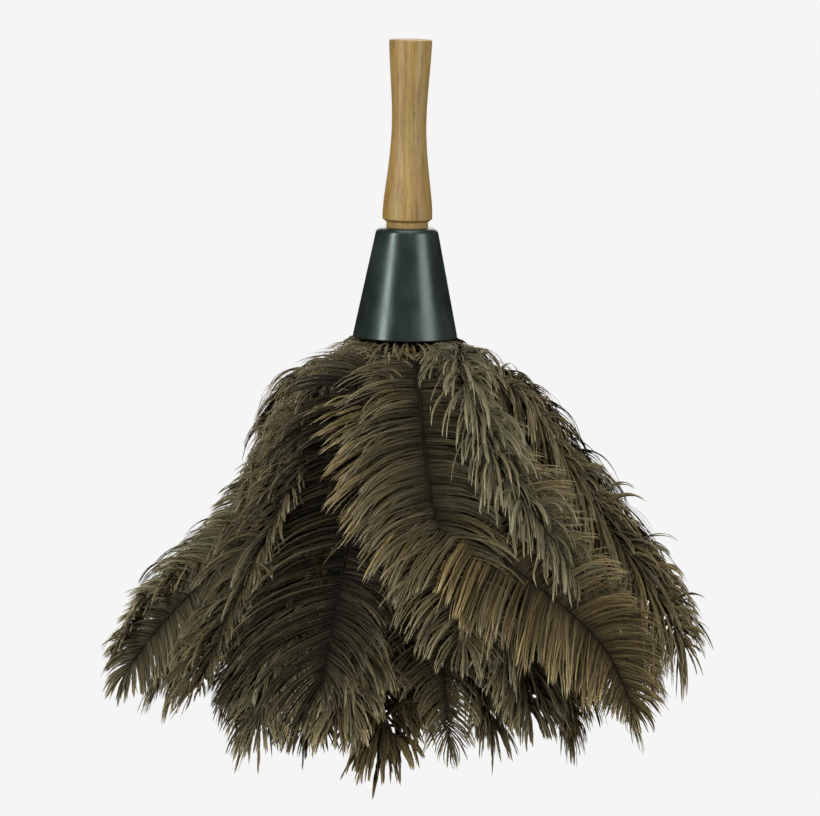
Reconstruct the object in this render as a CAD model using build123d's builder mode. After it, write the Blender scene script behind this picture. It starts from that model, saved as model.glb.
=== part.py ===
from build123d import *

import os
from dataclasses import dataclass
from math import cos, pi, radians, sin, sqrt, tan

# Short-handled ostrich feather duster, held by its handle with the plumes hanging down.
#
# Frame: the origin is the centre of the handle's end face and +Z runs up the handle, so the whole
# duster lies below it. -Y is the front. Azimuths are measured from the front towards +X.
# All sizes are in millimetres.

# --- Driving dimensions -------------------------------------------------------------------------

# Handle, from its end face down.
END_RADIUS = 12.7
END_CHAMFER = 0.6
WAIST_RADIUS = 10.25
WAIST_Z = -53.0
SWELL_RADIUS = 13.2
SWELL_Z = -86.0
SHOULDER_RADIUS = 14.75
SHOULDER_BAND = 3.0
SHOULDER_Z = -105.8
SHOULDER_SLOPE = 1.7
NECK_RADIUS = 12.4
TENON_RADIUS = 12.0
TENON_STEP_Z = -116.0
TENON_END_Z = -172.0
TENON_CHAMFER = 1.5
GROOVE_DEPTH = 0.6

# Cap: a hollow cone round the tenon.
CAP_TOP_Z = -110.7
CAP_MOUTH_Z = -175.8
CAP_TOP_RADIUS = 17.9
CAP_MOUTH_RADIUS = 31.1
CAP_WALL = 2.0
CAP_TOP_THICKNESS = 2.6
CAP_TOP_ROUND = 4.0
CAP_LIP_ROUND = 0.7
NECK_CLEARANCE = 0.05

# Quills stand in rings round the tenon, one ring to a layer, each bound with its own wire.
QUILL_RADIUS = 1.5
QUILL_GAP = 0.3
WIRE_RADIUS = 0.5
WIRE_TURNS = 5
WIRE_PITCH = 0.94
WIRE_BELOW_QUILL_TOP = 4.0

# Plumes: thin leaf-shaped vanes that lie in the surface of a bell, one bell inside the next.
VANE_HALF_THICKNESS = 1.1
VANE_SHARE = 0.9
VANE_STATIONS = 11
VANE_ROOT = 0.12
VANE_TIP_LENGTH = 0.22
TIP_HALF_WIDTH = 4.0
SHORT_PLUME = 0.95


@dataclass
class Layer:
    """One bound layer of plumes. The route is the shaft's line below the cap as (radius, z) points."""

    name: str
    count: int
    first_azimuth: float
    quill_top: float
    route: list


LAYERS = [
    Layer("core", 8, 11.0, -120.0, [(25.0, -225.0), (36.0, -290.0), (47.0, -360.0), (54.0, -438.0)]),
    Layer("inner", 12, 0.0, -131.0, [(36.0, -217.0), (56.0, -280.0), (82.0, -350.0), (106.0, -428.0)]),
    Layer("middle", 14, 12.0, -144.0, [(48.0, -209.0), (73.0, -262.0), (110.0, -335.0), (148.0, -414.0)]),
    Layer("outer", 16, 8.0, -161.0, [(61.0, -203.0), (88.0, -250.0), (133.0, -318.0), (184.0, -394.0)]),
]


# --- Handle -------------------------------------------------------------------------------------


def ring_radius(layer_index):
    """Distance of a layer's quills from the axis: the rings lie against each other."""
    return TENON_RADIUS + QUILL_GAP + QUILL_RADIUS + layer_index * (2 * QUILL_RADIUS + QUILL_GAP)


def binding_top(layer):
    """Height of the topmost turn of a layer's wire."""
    return layer.quill_top - WIRE_BELOW_QUILL_TOP


BINDING_HEIGHT = WIRE_PITCH * (WIRE_TURNS - 1) + 2 * WIRE_RADIUS

with BuildPart() as handle:
    with BuildSketch(Plane.XZ):
        with BuildLine():
            Line((0, 0), (END_RADIUS - END_CHAMFER, 0))
            Line((END_RADIUS - END_CHAMFER, 0), (END_RADIUS, -END_CHAMFER))
            Spline(
                (END_RADIUS, -END_CHAMFER),
                (WAIST_RADIUS, WAIST_Z),
                (SWELL_RADIUS, SWELL_Z),
                (SHOULDER_RADIUS, SHOULDER_Z + SHOULDER_BAND),
                tangents=[(-0.03, -1), (0.03, -1)],
            )
            Polyline(
                (SHOULDER_RADIUS, SHOULDER_Z + SHOULDER_BAND),
                (SHOULDER_RADIUS, SHOULDER_Z),
                (NECK_RADIUS, SHOULDER_Z - SHOULDER_SLOPE),
                (NECK_RADIUS, TENON_STEP_Z),
                (TENON_RADIUS, TENON_STEP_Z),
                (TENON_RADIUS, TENON_END_Z + TENON_CHAMFER),
                (TENON_RADIUS - TENON_CHAMFER, TENON_END_Z),
                (0, TENON_END_Z),
                (0, 0),
            )
        make_face()
    revolve(axis=Axis.Z)
    # One shallow groove behind each winding, so that the bound quills can't creep down the tenon.
    with BuildSketch(Plane.XZ):
        for layer in LAYERS:
            groove_z = binding_top(layer) - BINDING_HEIGHT / 2 + WIRE_RADIUS
            with Locations((TENON_RADIUS, groove_z)):
                Rectangle(2 * GROOVE_DEPTH, BINDING_HEIGHT)
    revolve(axis=Axis.Z, mode=Mode.SUBTRACT)
handle.part.label = "handle"


# --- Cap ----------------------------------------------------------------------------------------

cap_slope = (CAP_MOUTH_RADIUS - CAP_TOP_RADIUS) / (CAP_TOP_Z - CAP_MOUTH_Z)
cap_ceiling_z = CAP_TOP_Z - CAP_TOP_THICKNESS
cap_ceiling_radius = CAP_TOP_RADIUS + cap_slope * CAP_TOP_THICKNESS - CAP_WALL

with BuildPart() as cap:
    with BuildSketch(Plane.XZ):
        with BuildLine():
            Polyline(
                (NECK_RADIUS + NECK_CLEARANCE, CAP_TOP_Z),
                (CAP_TOP_RADIUS, CAP_TOP_Z),
                (CAP_MOUTH_RADIUS, CAP_MOUTH_Z),
                (CAP_MOUTH_RADIUS - CAP_WALL, CAP_MOUTH_Z),
                (cap_ceiling_radius, cap_ceiling_z),
                (NECK_RADIUS + NECK_CLEARANCE, cap_ceiling_z),
                close=True,
            )
        make_face()
    revolve(axis=Axis.Z)
    rims = cap.edges().filter_by(GeomType.CIRCLE).sort_by(SortBy.RADIUS)
    mouth_rims = rims[-2:]
    fillet(rims.filter_by(lambda rim: abs(rim.radius - CAP_TOP_RADIUS) < CAP_WALL / 4), CAP_TOP_ROUND)
    fillet(mouth_rims, CAP_LIP_ROUND)
cap.part.label = "cap"


# --- Binding wires ------------------------------------------------------------------------------


def make_binding(layer_index, layer):
    """A close winding round one ring of quills, its turns nested a little into each other."""
    winding_radius = ring_radius(layer_index) + QUILL_RADIUS + QUILL_GAP / 2 + WIRE_RADIUS
    with BuildPart() as binding:
        with BuildSketch(Plane.XZ):
            for turn in range(WIRE_TURNS):
                with Locations((winding_radius, binding_top(layer) - turn * WIRE_PITCH)):
                    Circle(WIRE_RADIUS)
        revolve(axis=Axis.Z)
    binding.part.label = f"binding_wire_{layer.name}"
    return binding.part


# --- Plumes -------------------------------------------------------------------------------------


def make_route(layer_index, layer):
    """The shaft's line in the XZ plane: straight down inside the cap, then out and over like a bell."""
    ring = ring_radius(layer_index)
    tip_run = Vector(*layer.route[-1]) - Vector(*layer.route[-2])
    with BuildLine(Plane.XZ):
        inside = Line((ring, layer.quill_top), (ring, CAP_MOUTH_Z))
        hanging = Spline((ring, CAP_MOUTH_Z), *layer.route, tangents=[(0, -1), (tip_run.X, tip_run.Y)])
    return inside, hanging


def vane_plane(point, tangent, azimuth):
    """A plane across the shaft at a point of its line, turned to the plume's azimuth.

    Its X axis lies along the vane's width, level and tangent to the bell.
    """
    turn = radians(azimuth)
    outward = Vector(sin(turn), -cos(turn), 0)
    sideways = Vector(cos(turn), sin(turn), 0)
    centre = outward * point.X + Vector(0, 0, point.Z)
    along = outward * tangent.X + Vector(0, 0, tangent.Z)
    return Plane(centre, x_dir=sideways, z_dir=along)


def vane_half_width(layer, radius, fraction):
    """Half width of the vane at a distance from the axis and a fraction of the way to the tip.

    The vane takes its share of the bell's girth, with a slender root and a rounded tip.
    """
    full = VANE_SHARE * radius * tan(pi / layer.count)
    root = min(1, fraction / VANE_ROOT)
    tip = sqrt(1 - max(0, (fraction - 1 + VANE_TIP_LENGTH) / VANE_TIP_LENGTH) ** 2)
    return QUILL_RADIUS + (full - QUILL_RADIUS) * root * tip + (TIP_HALF_WIDTH - QUILL_RADIUS) * (1 - tip)


def make_plume(layer_index, layer, number):
    """One plume: a round quill inside the cap that flattens into a leaf-shaped vane below it."""
    azimuth = layer.first_azimuth + number * 360 / layer.count
    reach = 1.0 if number % 2 == 0 else SHORT_PLUME
    inside, hanging = make_route(layer_index, layer)
    with BuildPart() as plume:
        with BuildSketch(vane_plane(inside @ 0, inside % 0, azimuth)):
            Circle(QUILL_RADIUS)
        extrude(amount=inside.length)
        for station in range(VANE_STATIONS):
            fraction = (station / (VANE_STATIONS - 1)) ** 1.2
            point = hanging @ (fraction * reach)
            half_width = vane_half_width(layer, point.X, fraction)
            half_thickness = QUILL_RADIUS + (VANE_HALF_THICKNESS - QUILL_RADIUS) * min(1, 4 * fraction)
            with BuildSketch(vane_plane(point, hanging % (fraction * reach), azimuth)):
                Ellipse(half_width, half_thickness)
        loft()
    plume.part.label = f"feather_{layer.name}_{number + 1:02d}"
    return plume.part


# --- Output -------------------------------------------------------------------------------------

pieces = [handle.part, cap.part]
for layer_index, layer in enumerate(LAYERS):
    pieces.append(make_binding(layer_index, layer))
    pieces.extend(make_plume(layer_index, layer, number) for number in range(layer.count))

os.makedirs("parts", exist_ok=True)
for piece in pieces:
    export_step(piece, f"parts/{piece.label}.step")
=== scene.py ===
from dataclasses import dataclass, replace
from math import atan2, cos, pi, radians, sin

import bpy
import numpy as np
from mathutils import Matrix, Vector


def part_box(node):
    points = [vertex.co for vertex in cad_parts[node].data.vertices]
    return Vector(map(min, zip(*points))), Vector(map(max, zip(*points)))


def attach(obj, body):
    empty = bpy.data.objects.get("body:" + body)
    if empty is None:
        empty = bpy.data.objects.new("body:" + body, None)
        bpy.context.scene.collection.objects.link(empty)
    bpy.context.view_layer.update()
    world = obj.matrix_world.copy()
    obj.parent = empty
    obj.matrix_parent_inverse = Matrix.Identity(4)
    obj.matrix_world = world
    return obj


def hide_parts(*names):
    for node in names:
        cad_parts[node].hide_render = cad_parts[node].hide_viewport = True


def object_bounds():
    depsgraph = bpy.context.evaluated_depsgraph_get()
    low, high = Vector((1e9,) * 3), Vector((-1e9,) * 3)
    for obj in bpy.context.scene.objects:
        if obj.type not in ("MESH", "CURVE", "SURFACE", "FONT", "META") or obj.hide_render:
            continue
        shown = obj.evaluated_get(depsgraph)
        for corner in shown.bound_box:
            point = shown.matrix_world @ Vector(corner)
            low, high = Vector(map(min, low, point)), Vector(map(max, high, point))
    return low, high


# Feather duster hanging from its handle. Metres, +Z up along the handle, the front faces -Y.
# The handle, cap and binding wires are the CAD pieces with better materials. Each plume is modelled
# here: a quill and shaft, and several hundred barbs or more that are laid out along the shaft, droop
# under their own weight, rest on the bell of plumes beneath and gather into pointed locks.

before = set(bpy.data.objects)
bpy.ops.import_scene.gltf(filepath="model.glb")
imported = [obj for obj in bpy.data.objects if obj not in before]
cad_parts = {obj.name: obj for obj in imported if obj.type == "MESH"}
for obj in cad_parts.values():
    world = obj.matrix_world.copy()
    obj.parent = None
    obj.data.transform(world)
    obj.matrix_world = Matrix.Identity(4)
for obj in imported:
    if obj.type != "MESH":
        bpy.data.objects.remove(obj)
cad_low, cad_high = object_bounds()

MM = 0.001
SEED = 7


# --- Small helpers ------------------------------------------------------------------------------


def unit(v):
    """Rows of v at length one. A row of zeros stays as it is."""
    tiny = 1e-12
    return v / np.maximum(np.linalg.norm(v, axis=-1, keepdims=True), tiny)


def smooth_step(x, low, high):
    """0 below low, 1 above high, with an even rise between."""
    t = np.clip((x - low) / (high - low), 0.0, 1.0)
    return t * t * (3.0 - 2.0 * t)


def on_cylinder(azimuth, radius, z):
    """Points from azimuth (degrees from the front towards +X), distance from the axis, and height."""
    turn = np.radians(azimuth)
    return np.stack([radius * np.sin(turn), -radius * np.cos(turn), z + 0.0 * radius], axis=-1)


# --- Places taken from the CAD frame ------------------------------------------------------------

cap_low, cap_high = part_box("cap")
MOUTH_Z = cap_low.z
MOUTH_RADIUS = cap_high.x
LAYERS = ("core", "inner", "middle", "outer")
LINE_LEVELS = 34  # heights at which a CAD plume's line is read
HEM_SHRINK = 4.0  # how fast a bell's radius falls away below its hem


@dataclass(frozen=True)
class Line:
    """A CAD plume's own line, read off its mesh. The arrays run from the cap's mouth to the tip."""

    azimuth: float  # degrees from the front towards +X
    ring: float  # distance of the quill from the axis
    top: float  # height of the quill's top end
    radius: np.ndarray  # distances from the axis
    z: np.ndarray  # heights


def layer_nodes(layer):
    """Names of a layer's CAD plumes, in order round the axis."""
    return sorted(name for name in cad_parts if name.startswith(f"feather_{layer}_"))


def read_line(node):
    """The line of a CAD plume."""
    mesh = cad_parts[node].data
    co = np.empty(len(mesh.vertices) * 3)
    mesh.vertices.foreach_get("co", co)
    co = co.reshape(-1, 3)
    height = co[:, 2]
    tip = co[height < height.min() + 2 * MM].mean(axis=0)
    azimuth = np.degrees(atan2(tip[0], -tip[1]))
    turn = radians(azimuth)
    outward = co[:, 0] * sin(turn) - co[:, 1] * cos(turn)
    quill = height > MOUTH_Z + 1 * MM
    hanging = height < MOUTH_Z - 1 * MM
    levels = np.linspace(MOUTH_Z - 1 * MM, height.min(), LINE_LEVELS)
    bins = np.digitize(-height[hanging], -levels)
    ring = outward[quill].mean()
    radius, z = [ring], [MOUTH_Z]
    for b in range(1, len(levels)):
        here = bins == b
        if here.any():
            radius.append(outward[hanging][here].mean())
            z.append(height[hanging][here].mean())
    return Line(azimuth, ring, height.max(), np.array(radius), np.array(z))


LINES = {node: read_line(node) for layer in LAYERS for node in layer_nodes(layer)}


def bell(layer):
    """The surface that a layer hangs in, as rising heights and the radius at each."""
    longest = min(layer_nodes(layer), key=lambda node: LINES[node].z.min())
    line = LINES[longest]
    order = np.argsort(line.z)
    return line.z[order], line.radius[order]


BELLS = {layer: bell(layer) for layer in LAYERS}


def bell_radius(layer, z):
    """Radius of a layer's bell at height z; it shrinks away below its hem, where barbs hang free."""
    heights, radii = BELLS[layer]
    radius = np.interp(z, heights, radii)
    below = np.clip(heights[0] - z, 0.0, None)
    return np.maximum(radius - HEM_SHRINK * below, 0.0)


# --- Camera, lights and floor -------------------------------------------------------------------

CAMERA_DISTANCE = 2.6
CAMERA_HEIGHT = 0.121  # above the handle's end
FRAME_WIDTH = 0.4879  # width of the view at the duster
LOOK_AT = Vector((0.0038, 0.0, -0.2187))
CAMERA_ROLL = 1.12  # degrees
SENSOR_WIDTH = 36.0  # mm
VIEW_END = 20.0  # beyond the floor's far edge
FLOOR_DROP = 0.22  # from the lowest tip to the floor
FLOOR_SIZE = 12.0
BACKGROUND = (0.913, 0.913, 0.913, 1.0)
BLACK = (0.0, 0.0, 0.0, 1.0)
# Name, azimuth from the front, distance from the axis, height, width and height, power.
SOFTBOXES = (
    ("key_left", -52, 1.5, 0.25, (0.26, 1.5), 26),
    ("key_right", 56, 1.6, 0.2, (0.8, 1.5), 24),
    ("overhead", 0, 0.25, 1.4, (1.2, 1.2), 16),
    ("behind", 180, 1.6, 0.5, (1.4, 1.2), 14),
    ("floor_bounce", 0, 1.2, -1.0, (1.6, 0.8), 5),
)


def aim_from(place):
    """A matrix that stands at a place and looks at the middle of the duster."""
    turn = (LOOK_AT - place).to_track_quat("-Z", "Y").to_matrix().to_4x4()
    return Matrix.Translation(place) @ turn


def make_camera():
    """A long lens a little above the cap, rolled slightly because the duster hangs out of plumb."""
    data = bpy.data.cameras.new("camera")
    data.sensor_width = SENSOR_WIDTH
    data.clip_end = VIEW_END
    camera = bpy.data.objects.new("camera", data)
    bpy.context.scene.collection.objects.link(camera)
    place = Vector((LOOK_AT.x, -CAMERA_DISTANCE, CAMERA_HEIGHT))
    camera.matrix_world = aim_from(place) @ Matrix.Rotation(radians(CAMERA_ROLL), 4, "Z")
    data.lens = SENSOR_WIDTH * (LOOK_AT - place).length / FRAME_WIDTH
    bpy.context.scene.camera = camera


def soft_light(name, azimuth, distance, height, size, power):
    """A rectangular softbox at an azimuth from the front, aimed at the middle of the duster."""
    data = bpy.data.lights.new(name, "AREA")
    data.shape = "RECTANGLE"
    data.size, data.size_y = size
    data.energy = power
    light = bpy.data.objects.new(name, data)
    bpy.context.scene.collection.objects.link(light)
    turn = radians(azimuth)
    light.matrix_world = aim_from(Vector((distance * sin(turn), -distance * cos(turn), height)))


def make_surround():
    """An even pale surround, which only the camera sees."""
    world = bpy.data.worlds.new("surround")
    world.use_nodes = True
    world.node_tree.nodes["Background"].inputs["Color"].default_value = BACKGROUND
    bpy.context.scene.world = world
    world.cycles_visibility.diffuse = False
    world.cycles_visibility.glossy = False
    bpy.context.scene.view_settings.view_transform = "Standard"


def make_floor():
    """A pale floor well below the tips, which the camera sees but which lights nothing."""
    material, _, shader = new_material("floor")
    shader.inputs["Base Color"].default_value = BLACK
    shader.inputs["Specular IOR Level"].default_value = 0.0
    shader.inputs["Emission Color"].default_value = BACKGROUND
    shader.inputs["Emission Strength"].default_value = 1.0
    bpy.ops.mesh.primitive_plane_add(size=FLOOR_SIZE, location=(0.0, 0.0, cad_low.z - FLOOR_DROP))
    floor = bpy.context.object
    floor.name = "floor"
    floor.data.materials.append(material)
    floor.visible_diffuse = False
    floor.visible_glossy = False


def make_studio():
    """Softboxes in front, above and behind, the floor's weak bounce, a pale floor and surround."""
    for softbox in SOFTBOXES:
        soft_light(*softbox)
    make_surround()
    make_floor()


# --- Materials ----------------------------------------------------------------------------------


def new_material(name):
    """A node material and its Principled shader."""
    material = bpy.data.materials.new(name)
    material.use_nodes = True
    return material, material.node_tree, material.node_tree.nodes["Principled BSDF"]


def add_node(tree, kind, **settings):
    """A node with its plain settings and, for names that are inputs, its input values."""
    node = tree.nodes.new(kind)
    for key, value in settings.items():
        if key in node.inputs:
            node.inputs[key].default_value = value
        else:
            setattr(node, key, value)
    return node


def ramp_node(tree, source, stops):
    """A colour ramp through (position, colour) stops, read from a socket. Returns the colour socket."""
    node = tree.nodes.new("ShaderNodeValToRGB")
    elements = node.color_ramp.elements
    while len(elements) < len(stops):
        elements.new(0.5)
    for element, (position, colour) in zip(elements, stops):
        element.position = position
        element.color = (*colour, 1.0)
    tree.links.new(source, node.inputs["Fac"])
    return node.outputs["Color"]


# The Mix node's sockets for colours: it has others of the same names for numbers and vectors.
MIX_FACTOR, MIX_A, MIX_B = 0, 6, 7
MIX_RESULT = 2


def mix_colour(tree, blend_type, factor, a, b):
    """A colour mix of the sockets a and b by a plain factor. Returns the result socket."""
    node = tree.nodes.new("ShaderNodeMix")
    node.data_type = "RGBA"
    node.blend_type = blend_type
    node.inputs[MIX_FACTOR].default_value = factor
    tree.links.new(a, node.inputs[MIX_A])
    tree.links.new(b, node.inputs[MIX_B])
    return node.outputs[MIX_RESULT]


def map_value(tree, source, low, high, new_low, new_high):
    """A socket's value moved from one range to another, held at the ends."""
    limits = {"From Min": low, "From Max": high, "To Min": new_low, "To Max": new_high}
    node = add_node(tree, "ShaderNodeMapRange", **limits)
    tree.links.new(source, node.inputs["Value"])
    return node.outputs["Result"]


def stretched_noise(tree, stretch, scale, detail=4.0, distortion=0.0):
    """Noise over object coordinates, each axis scaled by its share. Returns the value socket."""
    place = tree.nodes.new("ShaderNodeTexCoord")
    mapping = add_node(tree, "ShaderNodeMapping", Scale=stretch)
    tree.links.new(place.outputs["Object"], mapping.inputs["Vector"])
    noise = add_node(tree, "ShaderNodeTexNoise", Scale=scale, Detail=detail, Distortion=distortion)
    tree.links.new(mapping.outputs["Vector"], noise.inputs["Vector"])
    return noise.outputs["Fac"]


def add_bump(tree, shader, height, strength, distance):
    """A bump from a height socket onto the shader's normal."""
    bump = add_node(tree, "ShaderNodeBump", Strength=strength, Distance=distance)
    tree.links.new(height, bump.inputs["Height"])
    tree.links.new(bump.outputs["Normal"], shader.inputs["Normal"])


def mesh_value(tree, name):
    """The value socket of an attribute that the mesh carries."""
    return add_node(tree, "ShaderNodeAttribute", attribute_name=name).outputs["Fac"]


def barb_material():
    """Barbs: dark at the shaft, olive brown, pale at the tip, with a tint and a warmth for each barb.
    The tint also carries painted shade on the barbs' edges, and the painted shade and light that some
    plumes' settings add.
    """
    material, tree, shader = new_material("ostrich_barb")
    along, tint, warm = (mesh_value(tree, name) for name in ("along", "tint", "warm"))
    shade = ramp_node(
        tree,
        along,
        [
            (0.0, (0.026, 0.021, 0.012)),
            (0.20, (0.080, 0.065, 0.034)),
            (0.72, (0.180, 0.151, 0.080)),
            (0.90, (0.290, 0.248, 0.145)),
            (1.0, (0.540, 0.485, 0.330)),
        ],
    )
    cool, neutral, golden = (0.92, 1.02, 1.12), (1.0, 1.0, 1.0), (1.12, 0.98, 0.74)
    hue = ramp_node(tree, warm, [(0.0, cool), (0.5, neutral), (1.0, golden)])
    dark, plain, pale = (0.06, 0.06, 0.06), (0.85, 0.85, 0.85), (2.0, 2.0, 2.0)
    brightness = ramp_node(tree, tint, [(0.0, dark), (0.5, plain), (1.0, pale)])
    hued = mix_colour(tree, "MULTIPLY", 1.0, shade, hue)
    tree.links.new(mix_colour(tree, "MULTIPLY", 1.0, hued, brightness), shader.inputs["Base Color"])
    shader.inputs["Roughness"].default_value = 0.6
    shader.inputs["Specular IOR Level"].default_value = 0.1
    return material


def shaft_material():
    """Horn: nearly black and dull, with faint lengthwise streaks."""
    material, tree, shader = new_material("ostrich_shaft")
    streak = stretched_noise(tree, (1.0, 1.0, 0.2), 260.0)
    colour = ramp_node(tree, streak, [(0.3, (0.005, 0.004, 0.003)), (0.7, (0.018, 0.013, 0.009))])
    tree.links.new(colour, shader.inputs["Base Color"])
    shader.inputs["Roughness"].default_value = 0.85
    shader.inputs["Specular IOR Level"].default_value = 0.05
    return material


def wood_material():
    """Turned hardwood: broad grain bands, fine lengthwise streaks and flecks, and faint blotches."""
    material, tree, shader = new_material("turned_wood_oiled")
    bands = stretched_noise(tree, (1.0, 0.55, 0.045), 105.0, detail=3.0, distortion=0.6)
    streaks = stretched_noise(tree, (1.0, 1.0, 0.030), 640.0, detail=5.0)
    flecks = stretched_noise(tree, (1.0, 1.0, 0.10), 1500.0, detail=2.0)
    blotches = stretched_noise(tree, (1.0, 1.0, 0.45), 46.0, detail=2.0)
    broad = ramp_node(
        tree,
        bands,
        [
            (0.30, (0.215, 0.120, 0.032)),
            (0.44, (0.300, 0.190, 0.060)),
            (0.55, (0.348, 0.239, 0.091)),
            (0.68, (0.277, 0.174, 0.054)),
        ],
    )
    fine = ramp_node(tree, streaks, [(0.30, (0.74, 0.71, 0.66)), (0.56, (1.05, 1.05, 1.05))])
    dark = ramp_node(tree, flecks, [(0.30, (0.55, 0.50, 0.44)), (0.42, (1.0, 1.0, 1.0))])
    worn = ramp_node(tree, blotches, [(0.30, (0.84, 0.86, 0.80)), (0.65, (1.08, 1.05, 1.02))])
    colour = mix_colour(tree, "MULTIPLY", 1.0, broad, fine)
    colour = mix_colour(tree, "MULTIPLY", 0.7, colour, dark)
    tree.links.new(mix_colour(tree, "MULTIPLY", 1.0, colour, worn), shader.inputs["Base Color"])
    tree.links.new(map_value(tree, streaks, 0.3, 0.7, 0.60, 0.44), shader.inputs["Roughness"])
    add_bump(tree, shader, flecks, 0.35, 0.0004)
    shader.inputs["Specular IOR Level"].default_value = 0.35
    return material


def cap_material():
    """Moulded black plastic with a green cast: soft gloss, faint scuffs running down, a fine skin."""
    material, tree, shader = new_material("moulded_black_plastic")
    mottle = stretched_noise(tree, (1.0, 1.0, 0.6), 70.0, detail=5.0)
    scuffs = stretched_noise(tree, (1.0, 1.0, 0.12), 420.0, detail=3.0, distortion=0.4)
    skin = stretched_noise(tree, (1.0, 1.0, 1.0), 1900.0, detail=2.0)
    base = ramp_node(tree, mottle, [(0.35, (0.012, 0.018, 0.0155)), (0.70, (0.026, 0.035, 0.031))])
    worn = ramp_node(tree, scuffs, [(0.66, (0.0, 0.0, 0.0)), (0.80, (0.045, 0.052, 0.047))])
    tree.links.new(mix_colour(tree, "ADD", 1.0, base, worn), shader.inputs["Base Color"])
    tree.links.new(map_value(tree, mottle, 0.3, 0.7, 0.26, 0.38), shader.inputs["Roughness"])
    shader.inputs["Specular Tint"].default_value = (0.80, 1.0, 0.92, 1.0)
    height = mix_colour(tree, "ADD", 0.5, skin, scuffs)
    add_bump(tree, shader, height, 0.10, 0.0003)
    shader.inputs["Specular IOR Level"].default_value = 0.5
    return material


def wire_material():
    """Drawn steel wire, dulled, with fine marks round it."""
    material, tree, shader = new_material("drawn_steel_wire")
    marks = stretched_noise(tree, (0.3, 0.3, 1.0), 1400.0)
    colour = ramp_node(tree, marks, [(0.35, (0.23, 0.22, 0.20)), (0.65, (0.42, 0.41, 0.39))])
    tree.links.new(colour, shader.inputs["Base Color"])
    tree.links.new(map_value(tree, marks, 0.3, 0.7, 0.28, 0.48), shader.inputs["Roughness"])
    add_bump(tree, shader, marks, 0.2, 0.0001)
    shader.inputs["Metallic"].default_value = 1.0
    return material


def finish_cad_pieces():
    """The handle, the cap and the binding wires keep their CAD shape and take these materials."""
    finishes = {"handle": wood_material(), "cap": cap_material(), "binding": wire_material()}
    for name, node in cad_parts.items():
        material = finishes.get(name.split("_")[0])
        if material:
            for slot in node.material_slots:
                slot.material = material


# --- Plumes -------------------------------------------------------------------------------------

SHAFT_SIDES = 7
SHAFT_POINTS = 90
SHAFT_RADII = (1.5 * MM, 1.1 * MM, 0.6 * MM, 0.15 * MM)  # at SHAFT_SHARES of its length
SHAFT_SHARES = (0.0, 0.2, 0.4, 1.0)
QUILL_POINTS = 3
QUILL_GAP = 2 * MM  # from the quill's last point to the cap's mouth

BARB_STEPS = 12
FACE_SPREAD = 0.35  # how unevenly the barbs' faces are turned
DROOP_RISE = (0.2, 1.7)  # a barb's droop: at its root, and how much is added by its tip
BARB_TAPER = (1.0, 1.0, 1.0, 0.45, 0.0)  # width at TAPER_SHARES of a barb
TAPER_SHARES = (0.0, 0.1, 0.6, 0.93, 1.0)
BARB_WIDTHS = (0.7, 1.3)  # how the width varies from barb to barb
EDGE_WIDTHS = (0.6, 1.3)  # how it varies from step to step along an edge
EDGE_SINK = (0.05, 0.55)  # how far an edge lies below the midline, as a share of its distance from it
# Painted shade: the barbs' edges are darkened against their midline to stand for the dark gaps between
# neighbouring barbs.
EDGE_PAINTED_SHADE = 0.14  # how much darker the edges are than the midline

# Places along a plume, as shares of its length, that its settings are given for.
LIFT_SHARES = (0.18, 0.6, 1.0)
TWIST_SHARES = (0.1, 0.7)
SIZE_SHARES = (0.0, 0.18, 0.45, 0.8, 1.0)
ANGLE_SHARES = (0.0, 0.25, 0.7, 0.96, 1.0)
SHAG_SHARES = (0.0, 0.4, 1.0)
SHADE_SHARES = (0.05, 0.3, 1.0)
DROOP_SHARES = (0.0, 0.5)
MESS_SHARES = (0.5, 1.0)
SWING_START = (5 * MM, 60 * MM)  # distances over which a shaft swings out from its quill

# How far single barbs and locks differ.
START_SPREAD = 0.2  # of the spacing
TURN_SPREAD = 0.03  # radians
RISE_SPREAD = 0.05
SIZE_SPREAD = 0.05
TINT_SPREAD = 0.08
STEP_TINT_SPREAD = 0.03
LOCK_WARM_SPREAD = 0.12
BARB_WARM_SPREAD = 0.05

DOWN_REACH = 16 * MM  # the down grows on this much of the shaft
DOWN_LENGTH = (16 * MM, 30 * MM)
DOWN_ANGLES = (0.2, 1.3)  # radians from the shaft; the rise off the vane has the same range
DOWN_LOCK = 3.0  # barbs of down in a lock
DOWN_SPREAD = 0.08

CAP_CLEARANCE = 1.5 * MM  # how far outside the cap's rim the barbs stay near its height
LEAST_RADIUS = 1e-4  # keeps points on the axis from being divided by nothing
LEAN_LEFT = 18 * MM  # how far the bell's left flank is drawn in half way down
LEAN_RIGHT = 13 * MM  # how far its right flank stands out
DOWN = np.array([0.0, 0.0, -1.0])


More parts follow.
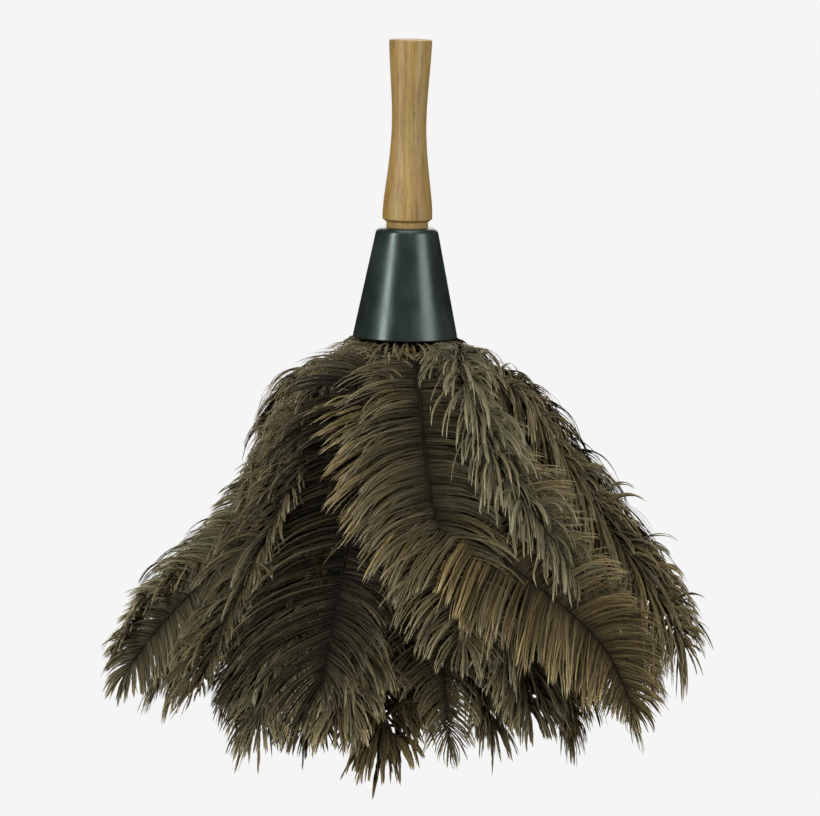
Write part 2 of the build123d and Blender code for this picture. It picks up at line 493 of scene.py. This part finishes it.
@dataclass(frozen=True)
class Plume:
    """How one plume is laid. Lengths in metres. Pairs are at the cap and at the tip, unless noted."""

    reach: float = 0.86  # length, as a share of the CAD plume's
    lift: tuple = (3 * MM, 3 * MM, 3 * MM)  # shaft off the bell: at the cap, the middle, the tip
    swing: tuple = (0.0, 0.0)  # shaft round the axis, in degrees from the CAD plume's azimuth
    turning: tuple = (0.1, 1.15)  # shares of the length between which the swing changes
    spacing: float = 0.6 * MM  # from barb to barb along the shaft
    crowd: float = 1.0  # below 1, the barbs crowd towards the tip
    barb: float = 50 * MM  # full length of a barb
    sizes: tuple = (0.40, 0.68, 1.0, 0.95, 0.6)  # barbs' lengths along the plume, as shares of it
    sides: tuple = (1.0, 1.0)  # lengths of the left and the right vane, as the front view sees them
    uneven: float = 0.55  # how much shorter a lock can be
    angles: tuple = (68, 58, 56, 58, 35)  # degrees between barbs and shaft, along the plume
    twist: float = 0.0  # degrees that the vane is turned about its shaft
    flat: float = 0.1  # least rise of barbs off the vane
    shag: tuple = (1.0, 0.7, 0.4)  # greatest rise, along the plume
    droop: tuple = (2.4, 1.5)  # how far barbs bend under their weight, at the cap and half way
    sweep: float = 0.2  # how far they bend towards the plume's tip
    lock: float = 2.2  # barbs in a lock
    gather: float = 0.6  # how far a lock's barbs close up at their tips
    gather_from: float = 0.6  # share of a barb where they begin to
    mess: tuple = (0.25, 0.30)  # spread of the locks' angles in radians, half way and at the tip
    wander: tuple = (0.22, 0.10)  # random bends of a lock and of a barb
    rest: float = -1 * MM  # where barbs rest, off the shaft's own height above the bell
    front: float = 0.8 * MM  # barbs' roots off the shaft's middle, towards the plume's face
    half_width: float = 0.8 * MM  # half a barb's width
    down: int = 0  # barbs of short down under the cap
    tint: float = 0.5  # brightness, 0 to 1
    warm: float = 0.52  # from grey green, 0, to golden, 1
    # On the big dark plume, the drop in tint past the root is painted shade for a shadowed hollow.
    shade: tuple = (0.08, 0.0, 0.0)  # added to the tint along the plume


def lift_at(plume, share):
    """How far the shaft stands off the layer's bell at a share of its length."""
    near, middle, far = plume.lift
    first, second, last = LIFT_SHARES
    rise = near * smooth_step(share, 0.0, first) + (middle - near) * smooth_step(share, first, second)
    return rise + (far - middle) * smooth_step(share, second, last)


def azimuth_at(azimuth, plume, reach):
    """The shaft's azimuth at distances from the cap's mouth."""
    root, tip = plume.swing
    share = reach / reach[-1]
    leaving = root * smooth_step(reach, *SWING_START)
    return azimuth + leaving + (tip - root) * smooth_step(share, *plume.turning)


def shaft_curve(node, plume):
    """The shaft from the cap's mouth to its tip, evenly spaced: distance, points, and three axes."""
    line = LINES[node]
    steps = np.hypot(np.diff(line.radius), np.diff(line.z))
    run = np.concatenate([[0.0], np.cumsum(steps)])
    reach = np.linspace(0.0, run[-1] * plume.reach, SHAFT_POINTS)
    r = np.interp(reach, run, line.radius)
    h = np.interp(reach, run, line.z)
    dr, dh = np.gradient(r), np.gradient(h)
    size = np.hypot(dr, dh)
    share = reach / reach[-1]
    lift = lift_at(plume, share)
    r = r - lift * dh / size
    h = h + lift * dr / size
    turn = azimuth_at(line.azimuth, plume, reach)
    points = on_cylinder(turn, r, h)
    tangent = unit(np.gradient(points, axis=0))
    outward = unit(on_cylinder(turn, -dh / size, dr / size))
    outward = unit(outward - tangent * (outward * tangent).sum(-1, keepdims=True))
    across = np.cross(tangent, outward)
    twist = radians(plume.twist) * smooth_step(share, *TWIST_SHARES)[:, None]
    up = outward * np.cos(twist) + across * np.sin(twist)
    return reach, points, tangent, np.cross(tangent, up), up


def tube_points(line, radii):
    """Rings of points round a line, one ring for each of its points."""
    tangent = unit(np.gradient(line, axis=0))
    across = unit(np.cross(tangent, [0.31, 0.95, 0.05]))
    other = np.cross(tangent, across)
    angle = np.linspace(0.0, 2.0 * pi, SHAFT_SIDES, endpoint=False)[None, :, None]
    offsets = np.cos(angle) * across[:, None] + np.sin(angle) * other[:, None]
    return (line[:, None] + radii[:, None, None] * offsets).reshape(-1, 3)


def tube_faces(rings):
    """Triangles of a tube's wall and its two flat ends."""
    i, j = np.meshgrid(np.arange(rings - 1), np.arange(SHAFT_SIDES), indexing="ij")
    a = i * SHAFT_SIDES + j
    b = i * SHAFT_SIDES + (j + 1) % SHAFT_SIDES
    c, d = a + SHAFT_SIDES, b + SHAFT_SIDES
    wall = [np.stack(corners, -1).reshape(-1, 3) for corners in ([a, b, d], [a, d, c])]
    last = (rings - 1) * SHAFT_SIDES
    ends = [[0, k + 1, k] for k in range(1, SHAFT_SIDES - 1)]
    ends += [[last, last + k, last + k + 1] for k in range(1, SHAFT_SIDES - 1)]
    return np.concatenate([*wall, np.array(ends)])


def shaft_mesh(node, points):
    """A tapered tube: the quill inside the cap and the shaft below it."""
    line = LINES[node]
    heights = np.linspace(line.top, MOUTH_Z + QUILL_GAP, QUILL_POINTS)
    quill = on_cylinder(np.full(QUILL_POINTS, line.azimuth), np.full(QUILL_POINTS, line.ring), heights)
    whole = np.concatenate([quill, points])
    radii = np.interp(np.linspace(0.0, 1.0, len(whole)), SHAFT_SHARES, SHAFT_RADII)
    return tube_points(whole, radii), tube_faces(len(whole))


def lock_numbers(count, size, rng):
    """Numbers neighbouring barbs into locks of about size barbs each, from 0."""
    starts = rng.random(count) < 1.0 / size
    starts[0] = False
    return np.cumsum(starts)


def vane_roots(plume, length, rng):
    """Where each barb of both vanes starts, and how: a dict of arrays with one entry for each barb."""
    count = int(length / plume.spacing)
    both = 2 * count
    even = length * np.linspace(0.0, 1.0, count) ** plume.crowd
    start = np.concatenate([even, even]) + rng.normal(0.0, START_SPREAD * plume.spacing, both)
    start = np.clip(start, 0.0, length)
    left = lock_numbers(count, plume.lock, rng)
    lock = np.concatenate([left, left[-1] + 1 + lock_numbers(count, plume.lock, rng)])
    locks = lock[-1] + 1
    share = start / length
    angle = np.interp(share, ANGLE_SHARES, plume.angles)
    mess = np.interp(share, MESS_SHARES, plume.mess)
    turn = mess * rng.normal(0.0, 1.0, locks)[lock] + rng.normal(0.0, TURN_SPREAD, both)
    high = np.interp(share, SHAG_SHARES, plume.shag)
    rise = plume.flat + (high - plume.flat) * rng.random(locks)[lock]
    rise = rise + rng.normal(0.0, RISE_SPREAD, both)
    size = np.interp(share, SIZE_SHARES, plume.sizes) * np.repeat(plume.sides[::-1], count)
    size = size * (1.0 - plume.uneven * rng.random(locks)[lock])
    size = size * (1.0 + rng.normal(0.0, SIZE_SPREAD, both))
    return {
        "start": start,
        "side": np.repeat([-1.0, 1.0], count),
        "lock": lock,
        "angle": np.radians(angle) + turn,
        "rise": rise,
        "long": plume.barb * size,
    }


def down_roots(plume, first_lock, rng):
    """The short down at the foot of a plume, which stands out all round under the cap."""
    count = plume.down
    start = rng.uniform(2 * MM, DOWN_REACH, count)
    lock = first_lock + lock_numbers(count, DOWN_LOCK, rng)
    locks = lock[-1] + 1
    return {
        "start": start,
        "side": rng.choice([-1.0, 1.0], count),
        "lock": lock,
        "angle": rng.uniform(*DOWN_ANGLES, locks)[lock] + rng.normal(0.0, DOWN_SPREAD, count),
        "rise": rng.uniform(*DOWN_ANGLES, locks)[lock] + rng.normal(0.0, DOWN_SPREAD, count),
        "long": rng.uniform(*DOWN_LENGTH, count) * (0.7 + 0.6 * start / DOWN_REACH),
    }


def bend_barbs(layer, plume, curve, roots, rng):
    """Each barb sets off from the shaft, droops, and rests on the bell.

    Returns the centre lines (step, barb, xyz) and the way that each barb's face is turned.
    """
    reach, *axes = curve
    start, lock, turn = roots["start"], roots["lock"], roots["angle"]
    count, locks = len(start), lock[-1] + 1
    here, ahead, across, up = [
        np.stack([np.interp(start, reach, axis[:, k]) for k in range(3)], -1) for axis in axes
    ]
    here = here + plume.front * up
    sine = (roots["side"] * np.sin(turn))[:, None]
    way = unit(np.cos(turn)[:, None] * ahead + sine * across + roots["rise"][:, None] * up)
    step = roots["long"] / BARB_STEPS
    droop = np.interp(start / reach[-1], DROOP_SHARES, plume.droop)[:, None]
    of_lock, of_barb = plume.wander
    wander = rng.normal(0.0, of_lock, (locks, 3))[lock] + rng.normal(0.0, of_barb, (count, 3))
    clear = lift_at(plume, start / reach[-1]) + plume.rest
    path = [here]
    for k in range(BARB_STEPS):
        u = (k + 0.5) / BARB_STEPS
        weight = DOWN * droop * (DROOP_RISE[0] + DROOP_RISE[1] * u)
        bend = weight + plume.sweep * ahead + wander * sin(pi * u)
        way = unit(way + bend / BARB_STEPS)
        there = here + way * step[:, None]
        there = push_out(there, bell_radius(layer, there[:, 2]) + clear, step)
        way = unit(there - here)
        here = there
        path.append(here)
    return np.array(path), up + FACE_SPREAD * rng.normal(0.0, 1.0, (count, 3))


def push_out(points, least, step):
    """Points moved out from the axis by little more than a step, to clear a radius and the cap."""
    beside_cap = points[:, 2] > MOUTH_Z - 2 * MM
    least = np.where(beside_cap, np.maximum(least, MOUTH_RADIUS + CAP_CLEARANCE), least)
    radius = np.maximum(np.hypot(points[:, 0], points[:, 1]), LEAST_RADIUS)
    grow = np.clip(least / radius, 1.0, 1.0 + 1.2 * step / radius)
    height = np.minimum(points[:, 2], MOUTH_Z - 0.5 * MM)
    return np.column_stack([points[:, 0] * grow, points[:, 1] * grow, height])


def gather_locks(path, lock, plume):
    """Draws each lock's barbs together towards their middle barb over the last part of their length."""
    first = np.searchsorted(lock, np.arange(lock[-1] + 1))
    size = np.diff(np.append(first, len(lock)))
    leader = (first + size // 2)[lock]
    along = np.linspace(0.0, 1.0, len(path))
    pull = plume.gather * smooth_step(along, plume.gather_from, 1.0)[:, None, None]
    return path + pull * (path[:, leader] - path)


def barb_faces(steps, count):
    """Triangles between the midlines and the edges on both sides, step by step."""
    middle = np.arange(steps * count)
    ahead = middle + count
    ring = (steps + 1) * count
    faces = []
    for edge in (middle + ring, middle + 2 * ring):
        faces.append(np.stack([middle, ahead, edge], -1))
        faces.append(np.stack([ahead, edge + count, edge], -1))
    return np.concatenate(faces)


def barb_mesh(path, face, roots, plume, rng):
    """Each barb as a narrow leaf: a raised midline and two ragged edges that lie a little lower."""
    steps, count = path.shape[0] - 1, path.shape[1]
    tangent = unit(np.gradient(path, axis=0))
    radial = path * [1.0, 1.0, 0.0]
    lateral = unit(np.cross(tangent, face + 0.6 * unit(radial) + [0.0, 0.0, 0.4]))
    normal = np.cross(lateral, tangent)
    u = np.linspace(0.0, 1.0, steps + 1)
    wide = plume.half_width * np.interp(u, TAPER_SHARES, BARB_TAPER)
    wide = wide[:, None, None] * rng.uniform(*BARB_WIDTHS, (1, count, 1))
    verts = [path.reshape(-1, 3)]
    for side in (-1.0, 1.0):
        out = wide * rng.uniform(*EDGE_WIDTHS, (steps + 1, count, 1))
        sink = out * rng.uniform(*EDGE_SINK, (1, count, 1))
        verts.append((path + side * lateral * out - normal * sink).reshape(-1, 3))
    return np.concatenate(verts), barb_faces(steps, count), barb_colours(u, roots, plume, rng)


def barb_colours(u, roots, plume, rng):
    """The colour attributes of a barb's midline and edges: place along the barb, tint and warmth. The
    edges' tint is lowered as painted shade for the gaps between barbs.
    """
    lock = roots["lock"]
    count, locks = len(lock), lock[-1] + 1
    lock_tint = rng.normal(0.0, TINT_SPREAD, locks)[lock]
    shade = np.interp(roots["start"] / roots["start"].max(), SHADE_SHARES, plume.shade)
    tint = plume.tint + shade + lock_tint + rng.normal(0.0, TINT_SPREAD, count)
    warm = plume.warm + rng.normal(0.0, LOCK_WARM_SPREAD, locks)[lock]
    warm = warm + rng.normal(0.0, BARB_WARM_SPREAD, count)
    middle = tint[None, :] + rng.normal(0.0, STEP_TINT_SPREAD, (len(u), count))
    # Painted shade: the edges' tint is lowered, less towards the tip, for the gaps between barbs.
    edge = middle - EDGE_PAINTED_SHADE * (1.0 - u[:, None] ** 6)
    return {
        "along": np.tile(np.repeat(u, count), 3),
        "tint": np.clip(np.concatenate([middle, edge, edge]).ravel(), 0.0, 1.0),
        "warm": np.clip(np.tile(warm, 3 * len(u)), 0.0, 1.0),
    }


def mesh_object(name, verts, faces, materials, material_index, attributes):
    """A mesh object from arrays of points and triangles, with a value for each point by attribute."""
    mesh = bpy.data.meshes.new(name)
    mesh.vertices.add(len(verts))
    mesh.vertices.foreach_set("co", np.ascontiguousarray(verts, dtype=np.float32).ravel())
    mesh.loops.add(faces.size)
    mesh.loops.foreach_set("vertex_index", np.ascontiguousarray(faces, dtype=np.int32).ravel())
    mesh.polygons.add(len(faces))
    mesh.polygons.foreach_set("loop_start", np.arange(0, faces.size, 3, dtype=np.int32))
    mesh.polygons.foreach_set("material_index", np.ascontiguousarray(material_index, dtype=np.int32))
    for key, values in attributes.items():
        layer = mesh.attributes.new(key, "FLOAT", "POINT")
        layer.data.foreach_set("value", np.ascontiguousarray(values, dtype=np.float32))
    for material in materials:
        mesh.materials.append(material)
    mesh.update()
    mesh.validate()
    piece = bpy.data.objects.new(name, mesh)
    bpy.context.scene.collection.objects.link(piece)
    return piece


def make_plume(node, layer, plume, materials, rng):
    """One plume, standing for its CAD node."""
    name = node.replace("feather", "plume")
    curve = shaft_curve(node, plume)
    reach, points = curve[:2]
    shaft_verts, shaft_faces = shaft_mesh(node, points)
    roots = vane_roots(plume, reach[-1], rng)
    if plume.down:
        down = down_roots(plume, roots["lock"][-1] + 1, rng)
        roots = {key: np.concatenate([roots[key], down[key]]) for key in roots}
    path, face = bend_barbs(layer, plume, curve, roots, rng)
    path = gather_locks(path, roots["lock"], plume)
    vane_verts, vane_faces, colours = barb_mesh(path, face, roots, plume, rng)
    verts = np.concatenate([shaft_verts, vane_verts])
    faces = np.concatenate([shaft_faces, vane_faces + len(shaft_verts)])
    material_index = np.repeat([1, 0], [len(shaft_faces), len(vane_faces)])
    plain = np.zeros(len(shaft_verts))
    attributes = {key: np.concatenate([plain, values]) for key, values in colours.items()}
    piece = mesh_object(name, verts, faces, materials, material_index, attributes)
    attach(piece, "root")
    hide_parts(node)


# The inner layers' plumes: full towards their tips, which fill the bell's hem.
INSIDE = Plume(
    sizes=(0.40, 0.68, 0.9, 1.0, 0.55),
    uneven=0.35,
    angles=(68, 58, 58, 66, 50),
    gather=0.25,
    mess=(0.25, 0.50),
    crowd=0.6,
    half_width=0.9 * MM,
    # Painted light in part: this tint is set above the outer plumes' to brighten the inner layers where
    # they hang in shade.
    tint=0.60,
    warm=0.6,
)
FILLERS = {
    "core": replace(INSIDE, reach=0.82, spacing=0.75 * MM, barb=52 * MM),
    "inner": replace(INSIDE, reach=0.915, spacing=0.70 * MM, barb=56 * MM),
    "middle": replace(INSIDE, reach=0.92, spacing=0.58 * MM, barb=54 * MM),
    "outer": Plume(reach=0.86, spacing=0.44 * MM, barb=50 * MM, half_width=0.7 * MM, down=150),
}
# A plume whose vane lies flat and combed, with its shaft in view.
FLAT = Plume(
    barb=80 * MM,
    sizes=(0.45, 0.85, 1.0, 0.9, 0.45),
    uneven=0.30,
    angles=(90, 86, 76, 54, 8),
    flat=0.05,
    shag=(0.2, 0.2, 0.2),
    droop=(1.0, 1.0),
    sweep=0.05,
    lock=2.5,
    gather=0.45,
    gather_from=0.7,
    mess=(0.03, 0.06),
    wander=(0.08, 0.03),
    front=-0.3 * MM,
    half_width=0.5 * MM,
    down=40,
)
# The plumes that the front view shows one by one.
FRONT_PLUMES = {
    # Long central plume, flat, its shaft in full view, its tip in disorder.
    "feather_outer_01": replace(
        FLAT,
        reach=0.76,
        lift=(13 * MM, 12 * MM, 6 * MM),
        swing=(-2.5, 7),
        spacing=0.62 * MM,
        barb=70 * MM,
        angles=(92, 90, 84, 62, 8),
        wander=(0.16, 0.05),
        sides=(0.86, 0.8),
        mess=(0.03, 0.30),
        tint=0.455,
        down=0,
    ),
    # Golden plume that crosses to the lower right, over the central one's tip.
    "feather_outer_02": replace(
        FLAT,
        reach=1.0,
        lift=(0 * MM, 11 * MM, 15 * MM),
        swing=(-25, 16),
        turning=(0.28, 0.9),
        spacing=0.42 * MM,
        barb=72 * MM,
        sizes=(0.3, 0.9, 1.0, 0.85, 0.25),
        sides=(1.0, 1.1),
        angles=(90, 90, 82, 64, 12),
        droop=(0.75, 0.75),
        half_width=0.6 * MM,
        tint=0.52,
        warm=0.85,
    ),
    # Shaggy pale plume that falls over the right side of the central one.
    "feather_outer_03": Plume(
        reach=0.80,
        lift=(20 * MM, 20 * MM, 6 * MM),
        swing=(-31, 3),
        spacing=0.28 * MM,
        barb=42 * MM,
        sizes=(1.0, 1.0, 1.0, 0.9, 0.8),
        uneven=0.8,
        mess=(0.6, 0.5),
        half_width=0.6 * MM,
        shag=(1.1, 1.0, 0.6),
        droop=(3.0, 2.5),
        down=260,
        tint=0.64,
        warm=0.25,
    ),
    # Right flank, its vane turned to the front.
    "feather_outer_04": Plume(
        reach=0.90,
        lift=(0 * MM, 18 * MM, 20 * MM),
        swing=(0, -5),
        twist=45,
        rest=-20 * MM,
        spacing=0.33 * MM,
        barb=60 * MM,
        sizes=(0.5, 0.7, 0.85, 1.0, 0.6),
        sides=(1.1, 0.6),
        mess=(0.35, 0.35),
        half_width=0.65 * MM,
        shag=(1.0, 0.8, 0.5),
        down=110,
        tint=0.66,
        warm=0.6,
    ),
    # Far left plume: its tip sticks out, its vane turned to the front.
    "feather_outer_14": replace(
        FLAT,
        reach=0.96,
        lift=(0 * MM, -8 * MM, 0 * MM),
        swing=(0, -13),
        twist=-50,
        rest=-30 * MM,
        spacing=0.40 * MM,
        barb=44 * MM,
        sizes=(0.3, 0.5, 0.8, 0.9, 0.5),
        half_width=0.7 * MM,
        tint=0.66,
        warm=0.3,
    ),
    # Left of the dark hollow: its inner vane is short.
    "feather_outer_15": Plume(
        reach=0.88,
        lift=(6 * MM, 2 * MM, -4 * MM),
        swing=(-6, -8),
        spacing=0.40 * MM,
        barb=54 * MM,
        sides=(1.0, 0.45),
        mess=(0.45, 0.40),
        half_width=0.65 * MM,
        shag=(1.1, 0.8, 0.5),
        down=110,
        # Partly painted shade: the tint is set a little low to darken the hollow at this plume's right
        # side.
        tint=0.46,
    ),
    # Big dark plume at the lower left, shaggy only under the cap. Its low tint, darkest a third of the
    # way down, is partly its own colour and partly painted shade for the shadowed hollow left of the
    # central plume.
    "feather_outer_16": replace(
        FLAT,
        reach=0.90,
        lift=(11 * MM, -3 * MM, 6 * MM),
        swing=(-6, 0),
        turning=(0.1, 1.0),
        barb=92 * MM,
        sizes=(0.4, 0.55, 0.8, 1.0, 0.5),
        sides=(1.0, 0.5),
        shag=(1.0, 0.15, 0.1),
        # Painted shade in part: the low tint and its drop past the root darken the hollow where this
        # plume lies in shadow.
        tint=0.36,
        warm=0.6,
        shade=(0.15, -0.24, -0.14),
        down=180,
    ),
    # A thin tip that hangs below the hem in front.
    "feather_middle_01": replace(
        FLAT,
        reach=0.93,
        lift=(3 * MM, 3 * MM, 8 * MM),
        spacing=1.2 * MM,
        sizes=(0.4, 0.8, 1.0, 0.5, 0.25),
        tint=0.45,
    ),
}


def filler(layer, node, rng):
    """A plume of its layer's kind, each a little different; the bell leans to the right."""
    azimuth = LINES[node].azimuth
    base = FILLERS[layer]
    off = rng.uniform(-2, 4) * MM
    lean = (LEAN_RIGHT if azimuth > 0 else LEAN_LEFT) * sin(radians(azimuth))
    return replace(
        base,
        lift=(off, base.lift[1] + off + lean, base.lift[2] + off + max(lean, 0.0)),
        swing=(rng.uniform(-4, 4), rng.uniform(-7, 7)),
        twist=rng.uniform(-30, 30),
        tint=base.tint + rng.uniform(-0.08, 0.08),
        warm=base.warm + rng.uniform(-0.2, 0.3),
    )


def make_plumes():
    """Every CAD plume gets its Blender plume."""
    materials = [barb_material(), shaft_material()]
    rng = np.random.default_rng(SEED)
    for layer in LAYERS:
        for node in layer_nodes(layer):
            spare = filler(layer, node, rng)
            make_plume(node, layer, FRONT_PLUMES.get(node, spare), materials, rng)


make_camera()
make_studio()
finish_cad_pieces()
make_plumes()
